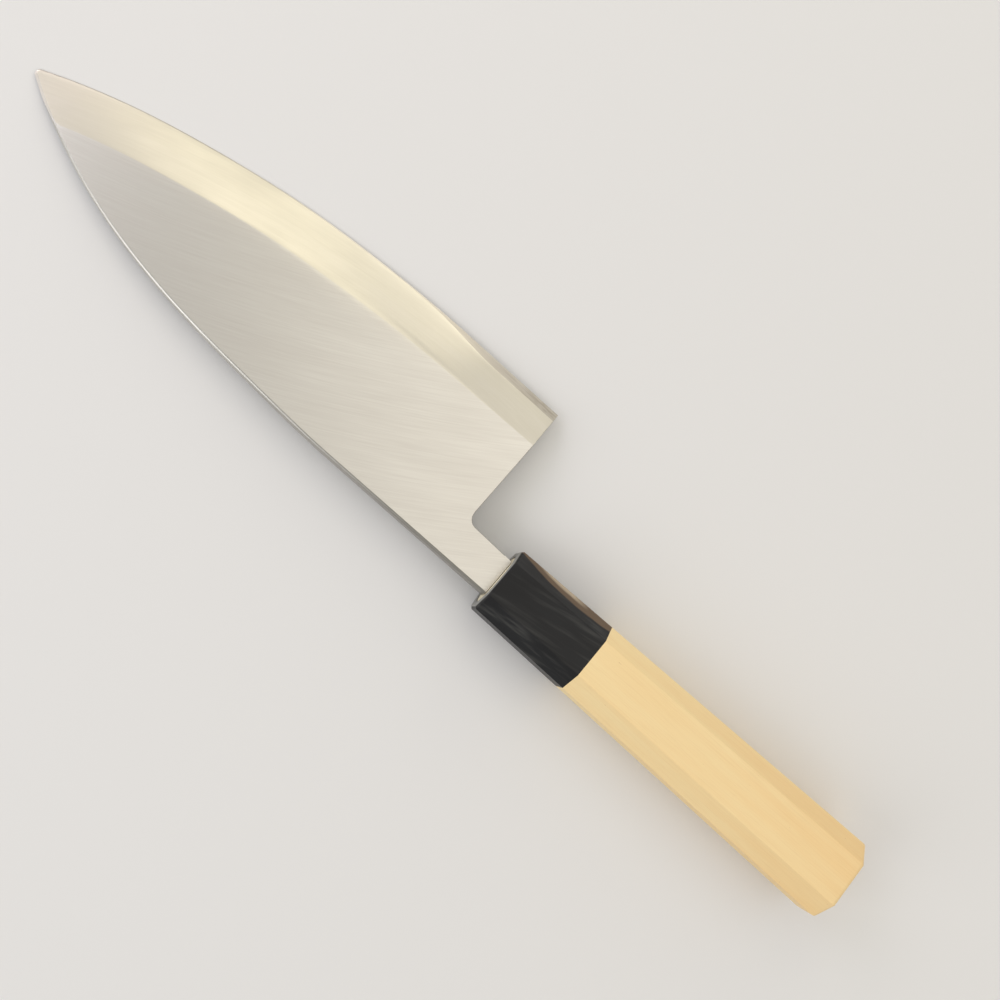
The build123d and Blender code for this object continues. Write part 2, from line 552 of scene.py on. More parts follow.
    def axes(self, mouth_corner: Vector) -> Axes:
        """Finds the points that lay the knife on the board.

        Args:
            mouth_corner: The ferrule's corner that touches the board.

        Returns:
            The points of the blade, with that corner.
        """
        places = [self.neck_length + share * self.reach for share in self.belly_shares]
        heel = Vector((self.neck_length, -self.heel_drop, self.back_level))
        belly = tuple(Vector((x, self.edge_y(x), self.back_level)) for x in places)
        centre_x, centre_y = self.tip_centre
        tip = Vector((centre_x + self.tip_radius, centre_y, self.back_level))
        return Axes(heel, belly, tip, mouth_corner)

    def cheek_z(self, x: float) -> float:
        """Height of the cheek, which falls from the neck to the tip."""
        lost = (self.neck_thickness - self.tip_thickness) * x / self.tip_x
        return self.back_level + self.neck_thickness - lost

    def rounded_z(self, x: float, room: float) -> float:
        """Height of the cheek near the spine.

        Args:
            x: Place along the handle's axis.
            room: How far the point lies below the spine.

        Returns:
            The height, on the cheek or on the spine's rounding.
        """
        into = min(max(self.spine_radius - room, 0.0), self.spine_radius)
        return self.cheek_z(x) - self.spine_radius + math.sqrt(self.spine_radius**2 - into**2)

    def upper_rows(self, low: float, spine: float) -> list[float]:
        """Rows of the cheek and of the spine's rounding, from a low row up.

        Args:
            low: The row to start above.
            spine: The spine's place.

        Returns:
            The rows' places across the blade, the spine last.
        """
        start = spine - self.spine_radius
        rows = [low + (start - low) * (k + 1) / self.cheek_rows for k in range(self.cheek_rows)]
        rows.insert(-1, max(start - self.eased_width, low))
        turns = [math.pi / 2 * (k + 1) / self.spine_rows for k in range(self.spine_rows)]
        return rows + [start + self.spine_radius * math.sin(turn) for turn in turns]

    @property
    def choil_centre(self) -> tuple[float, float]:
        """Middle of the rounding between the neck and the heel.

        Returns:
            Its places along the handle's axis and across the blade.
        """
        slope = (self.neck_drop - self.choil_drop) / self.neck_length
        x = self.neck_length - self.choil_radius
        return x, slope * x - self.neck_drop - self.choil_radius * math.hypot(1, slope)

    @property
    def choil_share(self) -> float:
        """Share of the cheek's height that lies below the choil, at the heel.

        Returns:
            The share, from 0 at the bevel to 1 at the spine's rounding.
        """
        cheek = self.bevel_width + self.ridge_width.values[0] - self.heel_drop
        top = self.neck_rise - self.spine_radius
        return (self.choil_centre[1] - cheek) / (top - cheek)

    def front_section(self, x: float) -> Ring:
        """Points of the bevelled side across the blade, from the edge to the spine.

        Args:
            x: The section's place along the handle's axis.

        Returns:
            The points, with coinciding ones where the cheek has run out.
        """
        share, edge, spine = self.share_at(x), self.edge_y(x), self.spine_y(x)
        heel_part = self.heel_spread.at(share)
        narrow = self.edge_bevel_width + heel_part * self.heel_bevel_width
        wide = self.bevel_width * self.bevel_spread.at(share)
        angle = self.edge_bevel_angle + heel_part * (self.heel_bevel_angle - self.edge_bevel_angle)
        steep = math.tan(math.radians(angle))
        slope = (self.cheek_z(x) - self.back_level - steep * narrow) / (wide - narrow)
        arris = self.arris_width
        most_bulge = self.bevel_bulge.at(share)
        ridge = self.ridge_width.at(share)

        def height(y: float) -> float:
            """Height of the lowest of the three surfaces.

            Args:
                y: Place across the blade.

            Returns:
                The height, rounded off where two of them meet.
            """
            up = y - edge
            along = min(max((up - narrow) / (wide - narrow), 0.0), 1.0)
            bulge = most_bulge * arch(along) * min((spine - edge) / wide, 1.0)
            bevel = self.back_level + steep * narrow + slope * (up - narrow) + bulge
            upper = smooth_min(bevel, self.rounded_z(x, spine - y), slope * ridge)
            return smooth_min(self.back_level + steep * up, upper, (steep - slope) * arris)

        low, high = edge + narrow, edge + wide
        start, stop = low + arris, high - ridge
        rows = [edge, low - arris, low]
        # A row follows the weld, so that the two steels part between rows and not through them
        weld = crossing(height, self.weld_z(x), start, stop)
        rows += [start + (weld - start) * k / self.core_rows for k in range(self.core_rows)]
        rows += [weld + (stop - weld) * k / self.bevel_rows for k in range(self.bevel_rows + 1)]
        cheek, top = high + ridge, spine - self.spine_radius
        rise = (top - cheek) * self.choil_share
        rows += [high, cheek]
        rows += [cheek + rise * (k + 1) / self.cheek_rows for k in range(self.cheek_rows)]
        rows = [min(row, top) for row in rows]
        rows += self.upper_rows(rows[-1], spine)
        held = np.clip(np.maximum.accumulate(np.array(rows)), edge, spine)
        return [Vector((x, y, height(y))) for y in held]

    def back_upper(self, spine: float, low: float, rim: float) -> list[float]:
        """Rows of the back from the spine down to the row of the choil.

        Args:
            spine: The spine's place.
            low: The row of the choil.
            rim: Width of the flat rim.

        Returns:
            The rows' places across the blade, the lowest last.
        """
        high, steps = spine - rim, self.upper_hollow_rows
        return [spine] + [high + (low - high) * k / steps for k in range(steps + 1)]

    def back_section(self, x: float, edge: float, spine: float) -> Ring:
        """Points of the back across the blade, from the spine down to the edge.

        Args:
            x: The section's place along the handle's axis.
            edge: The edge's place.
            spine: The spine's place.

        Returns:
            The points, hollowed between the flat rims.
        """
        rim = min(self.back_rim, (spine - edge) / self.least_rims)
        depth = max(self.hollow_spread.at(self.share_at(x)), 0.0) * self.hollow_depth
        high, low = spine - rim, edge + rim
        full_high, full_low = self.neck_rise - self.back_rim, self.back_rim - self.heel_drop
        split_share = (full_high - self.choil_centre[1]) / (full_high - full_low)
        split = high + (low - high) * split_share
        steps = self.lower_hollow_rows
        rows = self.back_upper(spine, split, rim)
        rows += [split + (low - split) * (k + 1) / steps for k in range(steps)] + [edge]
        points = []
        for y in rows:
            across = min(max((high - y) / max(high - low, MERGE_DISTANCE), 0.0), 1.0)
            points.append(Vector((x, y, self.back_level + depth * arch(across))))
        return points

    def spine_face(self, x: float, spine: float, top: float) -> Ring:
        """Points down the flat of the spine, without its two ends.

        Args:
            x: The section's place along the handle's axis.
            spine: The spine's place.
            top: Height of the flat's upper end.

        Returns:
            The points, from the top down.
        """
        steps = self.wall_rows + 1
        return [
            Vector((x, spine, top + (self.back_level - top) * k / steps)) for k in range(1, steps)
        ]

    def blade_rings(self) -> list[Ring]:
        """Sections of the blade from the heel to the tip, close together round the tip.

        Returns:
            The sections.
        """
        centre = self.tip_centre[0]
        run = centre - self.neck_length
        count = round(run / self.station_gap)
        stations = [self.neck_length + run * k / count for k in range(count + 1)]
        turns = [math.pi / 2 * (k + 1) / self.tip_steps for k in range(self.tip_steps)]
        stations += [centre + self.tip_radius * math.sin(turn) for turn in turns]
        rings = []
        for x in stations:
            front = self.front_section(x)
            edge, spine = front[0].y, front[-1].y
            back = self.back_section(x, edge, spine)
            rings.append(front + self.spine_face(x, spine, front[-1].z) + back[:-1])
        return rings

    def blade_strips(self) -> list[Side]:
        """Sides of the strips between the points of the blade's sections.

        Returns:
            The sides, from the edge over the spine and down the back.
        """
        front = [Side.EDGE_BEVEL] * 2 + [Side.BEVEL] * (self.core_rows + self.bevel_rows + 2)
        cheek = [Side.CHEEK] * (2 * self.cheek_rows + 2)
        spine = [Side.SPINE] * (self.spine_rows + self.wall_rows + 1)
        hollow = [Side.HOLLOW] * (self.upper_hollow_rows + self.lower_hollow_rows)
        return front + cheek + spine + [Side.RIM] + hollow + [Side.RIM]

    def neck_low(self, x: float) -> float:
        """Lower side of the neck, with the choil's rounding.

        Args:
            x: Place along the handle's axis.

        Returns:
            The place of the lower side across the blade.
        """
        centre_x, centre_y = self.choil_centre
        slope = (self.neck_drop - self.choil_drop) / self.neck_length
        line = slope * x - self.neck_drop
        if x <= centre_x - self.choil_radius * slope / math.hypot(1, slope):
            return line
        inside = max(self.choil_radius**2 - (x - centre_x) ** 2, 0.0)
        return centre_y + math.sqrt(inside)

    def neck_rings(self) -> list[Ring]:
        """Sections of the neck and the tang, from the heel to the tang's end.

        Returns:
            The sections.
        """
        centre_x = self.choil_centre[0]
        turns = [math.pi / 2 * k / self.choil_steps for k in range(self.choil_steps + 1)]
        stations = [centre_x + self.choil_radius * math.cos(turn) for turn in turns]
        stations += [centre_x * (1 - (k + 1) / self.neck_steps) for k in range(self.neck_steps)]
        rings = []
        for x in stations:
            low, top, spine = self.neck_low(x), self.cheek_z(x), self.neck_rise
            front = [Vector((x, low, top))]
            front += [Vector((x, y, self.rounded_z(x, spine - y))) for y in self.upper_rows(low, spine)]
            face = self.spine_face(x, spine, front[-1].z)
            back = [
                Vector((x, y, self.back_level)) for y in self.back_upper(spine, low, self.back_rim)
            ]
            steps = self.wall_rows + 1
            wall = [
                Vector((x, low, self.back_level + (top - self.back_level) * k / steps))
                for k in range(1, steps)
            ]
            rings.append(front + face + back + wall)
        middle = ((self.neck_rise - self.neck_drop) / 2, self.back_level + self.neck_thickness / 2)
        angles = np.array([math.atan2(p.z - middle[1], p.y - middle[0]) for p in rings[-1]])
        rings.append(box_ring(0, self.tang_width, self.tang_thickness, middle, angles))
        rings.append(
            box_ring(-self.tang_length, self.tang_end_width, self.tang_end_thickness, middle, angles)
        )
        return rings

    def neck_strips(self) -> list[Side]:
        """Sides of the strips between the points of the neck's sections.

        Returns:
            The sides, filed all round but for the cheek.
        """
        others = self.spine_rows + 2 * self.wall_rows + 3 + self.upper_hollow_rows
        return [Side.CHEEK] * (self.cheek_rows + 1) + [Side.SPINE] * others

    def mend_ends(self, piece: Piece) -> None:
        """Eases the sharp rims of the heel, the choil and the neck with a narrow chamfer.

        Args:
            piece: The whole blade, drawn in millimetres.
        """
        make_active(piece)
        bpy.ops.object.mode_set(mode="EDIT")
        bpy.ops.mesh.select_all(action="DESELECT")
        bpy.ops.mesh.select_mode(type="EDGE")
        bpy.ops.mesh.edges_select_sharp(sharpness=math.radians(self.rim_angle))
        bpy.ops.object.mode_set(mode="OBJECT")
        points = piece.data.vertices
        for edge in piece.data.edges:
            ends = [points[index].co for index in edge.vertices]
            on_rim = all(0 < end.x < self.neck_length + MERGE_DISTANCE for end in ends)
            below = all(end.y < self.neck_rise - self.spine_radius for end in ends)
            at_edge = any(end.y < self.eased_width - self.heel_drop for end in ends)
            edge.select = edge.select and on_rim and below and not at_edge
        bpy.ops.object.mode_set(mode="EDIT")
        bpy.ops.mesh.bevel(offset=self.eased_width, segments=1, affect="EDGES")
        bpy.ops.object.mode_set(mode="OBJECT")

    def weld_box(self) -> Piece:
        """Builds the solid that holds all the hard steel, with the weld as its top face.

        Returns:
            The solid, drawn in millimetres.
        """
        deselect_all()
        bpy.ops.mesh.primitive_cube_add(size=2)
        box = bpy.context.object
        box.name = "weld_box"
        for vertex in box.data.vertices:
            x = self.tip_x + self.heel_drop if vertex.co.x > 0 else self.core_start
            y = self.heel_drop if vertex.co.y > 0 else -2 * self.heel_drop
            vertex.co = (x, y, self.weld_z(x) if vertex.co.z > 0 else -self.heel_drop)
        return box

    def weld_z(self, x: float) -> float:
        """Height of the weld between the two steels."""
        lost = (self.core_heel_thickness - self.core_tip_thickness) / self.reach
        return self.back_level + self.core_heel_thickness - lost * (x - self.neck_length)

    def finish_sides(self, piece: Piece) -> None:
        """Blackens the tang, and shades the blade smooth but for its crisp arrises.

        Args:
            piece: A piece of the blade, drawn in millimetres.
        """
        mesh = piece.data
        crisp: set[tuple[int, int]] = set()
        sides: dict[tuple[int, int], set[int]] = {}
        for face in mesh.polygons:
            if face.center.x < 0:
                face.material_index = Side.TANG
            points = [mesh.vertices[index].co for index in face.vertices]
            if all(abs(point.z - self.weld_z(point.x)) < WELD_CLOSENESS for point in points):
                crisp.update(face.edge_keys)
            for edge in face.edge_keys:
                sides.setdefault(edge, set()).add(face.material_index)
        crisp.update(edge for edge, meeting in sides.items() if meeting == {Side.RIM, Side.HOLLOW})
        make_active(piece)
        bpy.ops.object.shade_smooth_by_angle(angle=CRISP_ANGLE)
        for edge in mesh.edges:
            if edge.key in crisp:
                edge.use_edge_sharp = True

    def build(self, lie: Matrix, finishes: dict[Side, Material],
              edge_finish: Material) -> list[Piece]:
        """Builds the blade and parts it along the weld of its two steels.

        Args:
            lie: The matrix from the drawing to the frame.
            finishes: The material of each side.
            edge_finish: The material of the bevel on the hard steel.

        Returns:
            The soft steel and the hard steel, in the frame.
        """
        slots = [finishes[side] for side in Side]
        blade = join([
            skin("blade_soft_steel", self.blade_rings(), self.blade_strips(), slots),
            skin("neck", self.neck_rings(), self.neck_strips(), slots),
        ])
        close_up(blade, cap=True)
        self.mend_ends(blade)
        core = blade.copy()
        core.data = blade.data.copy()
        core.name = "blade_hard_steel"
        bpy.context.scene.collection.objects.link(core)
        box = self.weld_box()
        cut(blade, box, "DIFFERENCE")
        cut(core, box, "INTERSECT")
        bpy.data.objects.remove(box)
        core.data.materials[Side.BEVEL] = edge_finish
        for piece in (blade, core):
            close_up(piece, cap=True)
            self.finish_sides(piece)
        return [
            lay(blade, lie, "blade_cladding"),
            lay(core, lie, "cutting_steel"),
        ]


@dataclass(frozen=True)
class Octagon:
    """Tapered octagon that the ferrule and the handle share, with eased arrises."""

    length: float = 136.2
    front_width: float = 21.7
    butt_width: float = 26.25
    front_thickness: float = 18.4
    butt_thickness: float = 21.25
    front_corner: float = 4.9
    butt_corner: float = 5.65
    arris_radius: float = 0.35
    least_arris_radius: float = 0.0875
    arris_steps: int = 4
    flat_shares: tuple[float, ...] = (0.03, 0.27, 0.5, 0.73, 0.97)

    def ring(self, x: float, inset: float = 0.0) -> Ring:
        """Section of the octagon.

        Args:
            x: The section's place along the handle.
            inset: How far it lies inside the flats.

        Returns:
            The section's points, from one arris to the next.
        """
        share = -x / self.length
        across = (self.front_width + (self.butt_width - self.front_width) * share) / 2 - inset
        up = (self.front_thickness + (self.butt_thickness - self.front_thickness) * share) / 2 - inset
        corner = self.front_corner + (self.butt_corner - self.front_corner) * share
        # All eight sides move in by the same distance, which shortens the 45 degree corners too
        corner -= inset * (2 - math.sqrt(2))
        quarter = [(across, up - corner), (across - corner, up)]
        half = quarter + [(-y, z) for y, z in reversed(quarter)]
        corners = [Vector(point) for point in half + [(-y, -z) for y, z in half]]
        radius = max(self.arris_radius - inset, self.least_arris_radius)
        turn = math.pi / len(corners)
        arcs = []
        for index, place in enumerate(corners):
            before = (corners[index - 1] - place).normalized()
            after = (corners[(index + 1) % len(corners)] - place).normalized()
            inward = (before + after).normalized()
            middle = place + inward * radius / math.cos(turn)
            heading = math.atan2(-inward.y, -inward.x)
            steps = [2 * k / self.arris_steps - 1 for k in range(self.arris_steps + 1)]
            angles = [heading + turn * step for step in steps]
            arcs.append([middle + radius * Vector((math.cos(a), math.sin(a))) for a in angles])
        points = []
        for index, arc in enumerate(arcs):
            following = arcs[(index + 1) % len(arcs)][0]
            points += arc + [arc[-1].lerp(following, flat) for flat in self.flat_shares]
        return [Vector((x, point.x, point.y)) for point in points]

    def angles(self) -> np.ndarray:
        """Directions of the section's points from the handle's axis."""
        return np.array([math.atan2(point.z, point.y) for point in self.ring(0)])


@dataclass
class Ferrule:
    """Buffalo horn ferrule, bored through for the tenon and chamfered at its mouth."""

    length: float = 34.7
    mouth_chamfer: float = 0.8
    bore_width: float = 17.1
    bore_thickness: float = 14.5
    bore_chamfer: float = 0.25
    length_steps: int = 12
    octagon: Octagon = Octagon()

    def build(self, lie: Matrix, horn: Material) -> Piece:
        """Builds the ferrule.

        Args:
            lie: The matrix from the drawing to the frame.
            horn: Its material.

        Returns:
            The ferrule, in the frame.
        """
        angles = self.octagon.angles()
        wide, thick, ease = self.bore_width, self.bore_thickness, self.bore_chamfer
        bore_back = ellipse_ring(-self.length, wide, thick, angles)
        rings = [bore_back, ellipse_ring(-ease, wide, thick, angles)]
        rings.append(ellipse_ring(0, wide + 2 * ease, thick + 2 * ease, angles))
        rings.append(self.octagon.ring(0, self.mouth_chamfer))
        rest = self.length - self.mouth_chamfer
        for k in range(self.length_steps + 1):
            rings.append(self.octagon.ring(-self.mouth_chamfer - rest * k / self.length_steps))
        piece = skin("horn_ferrule", rings + [bore_back], finishes=[horn])
        bpy.ops.object.shade_smooth_by_angle(angle=CRISP_ANGLE)
        return lay(piece, lie, "ferrule")


@dataclass
class Handle:
    """Magnolia wood handle with its tenon, the hole burnt by the tang and a rounded butt."""

    ferrule_length: float = Ferrule.length
    tenon_width: float = 17.0
    tenon_thickness: float = 14.4
    tenon_recess: float = 0.2
    tenon_chamfer: float = 0.3
    hole_depth: float = 101.0
    hole_width: float = 10.5
    hole_thickness: float = 4.9
    hole_end_width: float = 4.5
    hole_end_thickness: float = 2.7
    hole_centre: tuple[float, float] = (-0.2, 0.3)
    butt_radius: float = 1.7
    butt_steps: int = 5
    length_steps: int = 24
    octagon: Octagon = Octagon()

    def build(self, lie: Matrix, wood: Material) -> Piece:
        """Builds the handle.

        Args:
            lie: The matrix from the drawing to the frame.
            wood: Its material.

        Returns:
            The handle, in the frame.
        """
        angles, front, ease = self.octagon.angles(), -self.tenon_recess, self.tenon_chamfer
        wide, thick = self.tenon_width, self.tenon_thickness
        rings = [
            box_ring(-self.hole_depth, self.hole_end_width, self.hole_end_thickness,
                     self.hole_centre, angles),
            box_ring(front, self.hole_width, self.hole_thickness, self.hole_centre, angles),
            ellipse_ring(front, wide - 2 * ease, thick - 2 * ease, angles),
            ellipse_ring(front - ease, wide, thick, angles),
            ellipse_ring(-self.ferrule_length, wide, thick, angles),
        ]
        end = self.octagon.length - self.butt_radius
        for k in range(self.length_steps + 1):
            x = self.ferrule_length + (end - self.ferrule_length) * k / self.length_steps
            rings.append(self.octagon.ring(-x))
        for k in range(1, self.butt_steps + 1):
            turn = math.pi / 2 * k / self.butt_steps
            out = self.butt_radius * math.sin(turn)
            rings.append(self.octagon.ring(-end - out, self.butt_radius * (1 - math.cos(turn))))
        piece = skin("wooden_handle", rings, finishes=[wood])
        close_up(piece, cap=True)
        bpy.ops.object.shade_smooth_by_angle(angle=CRISP_ANGLE)
        return lay(piece, lie, "handle_body")


def drawing_place(tree: Tree, lie: Matrix) -> Socket:
    """Reads a point's place in the drawing, in millimetres about the handle's axis.

    Args:
        tree: The material's node tree.
        lie: The matrix from the drawing to the frame.

    Returns:
        The socket that gives the place.
    """
    place, turn, size = lie.inverted().decompose()
    own = add_node(tree, "ShaderNodeTexCoord")
    drawn = add_node(
        tree, "ShaderNodeMapping", {"Location": place, "Rotation": turn.to_euler(), "Scale": size},
        {"Vector": own.outputs["Object"]},
    )
    return drawn.outputs["Vector"]


def share_along(tree: Tree, place: Socket, start: float, stop: float, most: float = 1.0) -> Socket:
    """Measures how far a point has come along the knife, between two places.

    Args:
        tree: The material's node tree.
        place: A point's place in the drawing.
        start: Where the share is 0.
        stop: Where it is full.
        most: What it is there.

    Returns:
        The socket of the share.
    """
    parts = add_node(tree, "ShaderNodeSeparateXYZ", links={0: place})
    share = add_node(
        tree, "ShaderNodeMapRange", {"From Min": start, "From Max": stop, "To Max": most},
        {0: parts.outputs[0]},
    )
    return share.outputs[0]


def stretched_noise(tree: Tree, place: Socket, scale: tuple[float, float, float]) -> Socket:
    """Draws soft streaks, by stretching noise.

    Args:
        tree: The material's node tree.
        place: A point's place.
        scale: How often the noise repeats per millimetre in each direction.

    Returns:
        The socket of the noise, about 0.5 on average.
    """
    stretched = add_node(tree, "ShaderNodeVectorMath", {"operation": "MULTIPLY", 1: scale}, {0: place})
    noise = add_node(
        tree, "ShaderNodeTexNoise", {"Scale": 1.0, "Detail": NOISE_DETAIL},
        {"Vector": stretched.outputs[0]},
    )
    return noise.outputs[0]


@dataclass(frozen=True)
class Streaks:
    """Streaks along the knife, with the levels of their noise at which they start and are full."""

    width: float
    length: float
    start: float
    full: float

    def draw(self, tree: Tree, place: Socket) -> Socket:
        """Draws the streaks.

        Args:
            tree: The material's node tree.
            place: A point's place in the drawing.

        Returns:
            The socket of their strength, from 0 to 1.
        """
        noise = stretched_noise(tree, place, (1 / self.length, 1 / self.width, 1 / self.width))
        drawn = add_node(
            tree, "ShaderNodeMapRange", {"From Min": self.start, "From Max": self.full}, {0: noise}
        )
        return drawn.outputs[0]


@dataclass(frozen=True)
class Steel:
    """Steel worked on a wheel, a stone or a file, whose lines run on circles round one centre."""

    name: str
    dark: str
    light: str
    roughness: float = 0.33
    roughness_play: float = 0.04
    centre: tuple[float, float] = (297.0, -425.0)
    radius: float = 470.0
    # Real lines are 0.05 mm wide and too fine to show, so they are drawn coarser
    line_width: float = 0.35
    line_length: float = 15.0
    band_width: float = 0.8
    band_length: float = 34.0
    cloud_width: float = 7.0
    cloud_length: float = 40.0
    band_share: float = 0.4
    cloud_share: float = 0.35
    # Levels of the noise that show as the dark tone and as the light one
    dark_level: float = 0.36
    light_level: float = 0.64
    depth: float = 0.001

    def run_of_lines(self, tree: Tree, place: Socket) -> Socket:
        """Measures places across the lines and along them, in millimetres.

        Args:
            tree: The material's node tree.
            place: A point's place in the drawing.

        Returns:
            The socket that gives both, as the first two parts of a vector.
        """
        offset = add_node(
            tree, "ShaderNodeVectorMath", {"operation": "SUBTRACT", 1: (*self.centre, 0)}, {0: place}
        )
        flat = add_node(
            tree, "ShaderNodeVectorMath", {"operation": "MULTIPLY", 1: (1, 1, 0)}, {0: offset.outputs[0]}
        )
        radius = add_node(tree, "ShaderNodeVectorMath", {"operation": "LENGTH"}, {0: flat.outputs[0]})
        parts = add_node(tree, "ShaderNodeSeparateXYZ", links={0: flat.outputs[0]})
        angle = add_node(
            tree, "ShaderNodeMath", {"operation": "ARCTAN2"}, {0: parts.outputs[1], 1: parts.outputs[0]}
        )
        arc = add_node(
            tree, "ShaderNodeMath", {"operation": "MULTIPLY", 1: self.radius}, {0: angle.outputs[0]}
        )
        run = add_node(
            tree, "ShaderNodeCombineXYZ", links={0: radius.outputs["Value"], 1: arc.outputs[0]}
        )
        return run.outputs[0]

    def stain_or_painted_light(self, tree: Tree, place: Socket, colour: Socket) -> Socket:
        """Adds what the steel shows beyond its lines, which is nothing on plain steel."""
        return colour

    def make(self, lie: Matrix) -> Material:
        """Builds the material.

        Args:
            lie: The matrix from the drawing to the frame.

        Returns:
            The material.
        """
        material, tree, output = new_material(self.name)
        place = drawing_place(tree, lie)
        run = self.run_of_lines(tree, place)
        fields = []
        for width, length in (
            (self.line_width, self.line_length),
            (self.band_width, self.band_length),
            (self.cloud_width, self.cloud_length),
        ):
            fields.append(stretched_noise(tree, run, (1 / width, 1 / length, 0)))
        lines, bands, clouds = fields
        tone = add_node(
            tree, "ShaderNodeMix", {"data_type": "FLOAT", 0: self.band_share}, {2: lines, 3: bands}
        )
        tone = add_node(
            tree, "ShaderNodeMix", {"data_type": "FLOAT", 0: self.cloud_share},
            {2: tone.outputs[0], 3: clouds},
        )
        spread = add_node(
            tree, "ShaderNodeMapRange", {"From Min": self.dark_level, "From Max": self.light_level},
            {0: tone.outputs[0]},
        )
        colour = add_node(
            tree, "ShaderNodeMix", {"data_type": "RGBA", 6: linear(self.dark), 7: linear(self.light)},
            {0: spread.outputs[0]},
        )
        half_play = self.roughness_play / 2
        rough = add_node(
            tree, "ShaderNodeMapRange",
            {"To Min": self.roughness + half_play, "To Max": self.roughness - half_play},
            {0: spread.outputs[0]},
        )
        bump = add_node(
            tree, "ShaderNodeBump", {"Strength": 1.0, "Distance": self.depth * MM}, {"Height": lines}
        )
        shader = add_node(
            tree, "ShaderNodeBsdfPrincipled", {"Metallic": 1.0},
            {
                "Base Color": self.stain_or_painted_light(tree, place, colour.outputs[2]),
                "Roughness": rough.outputs[0],
                "Normal": bump.outputs[0],
            },
        )
        tree.links.new(shader.outputs[0], output.inputs[0])
        return material


@dataclass(frozen=True)
class HonedSteel(Steel):
    """Honed edge bevel, with the brown marks that a stone's slurry left near the heel."""

    mark_colour: str = "#978b78"
    mark_width: float = 0.9
    mark_length: float = 6.0
    marks_end: float = 44.0
    marks_full: float = 24.0
    mark_strength: float = 0.45
    mark_start_level: float = 0.48
    mark_full_level: float = 0.62

    def stain_or_painted_light(self, tree: Tree, place: Socket, colour: Socket) -> Socket:
        """Draws the brown marks.

        Args:
            tree: The material's node tree.
            place: A point's place in the drawing.
            colour: The steel's own colour.

        Returns:
            The socket of the colour with the marks.
        """
        near_heel = share_along(tree, place, self.marks_end, self.marks_full, self.mark_strength)
        blots = add_node(
            tree, "ShaderNodeMapRange",
            {"From Min": self.mark_start_level, "From Max": self.mark_full_level},
            {0: stretched_noise(tree, place, (1 / self.mark_length, 1 / self.mark_width, 0))},
        )
        marks = add_node(
            tree, "ShaderNodeMath", {"operation": "MULTIPLY"}, {0: near_heel, 1: blots.outputs[0]}
        )
        drawn = add_node(
            tree, "ShaderNodeMix", {"data_type": "RGBA", 7: linear(self.mark_colour)},
            {0: marks.outputs[0], 6: colour},
        )
        return drawn.outputs[2]


@dataclass(frozen=True)
class FiledSteel(Steel):
    """Filed spine, with painted shade that darkens it towards the neck."""

    # Painted shade: the spine's colour darkens to this towards the neck
    painted_shade: str = "#9f9c95"
    painted_shade_end: float = 110.0
    painted_shade_full: float = 30.0

    def stain_or_painted_light(self, tree: Tree, place: Socket, colour: Socket) -> Socket:
        """Paints shade on the steel towards the neck.

        Args:
            tree: The material's node tree.
            place: A point's place in the drawing.
            colour: The steel's own colour.

        Returns:
            The socket of the darkened colour.
        """
        darkened = add_node(
            tree, "ShaderNodeMix", {"data_type": "RGBA", 7: linear(self.painted_shade)},
            {0: share_along(tree, place, self.painted_shade_end, self.painted_shade_full), 6: colour},
        )
        return darkened.outputs[2]


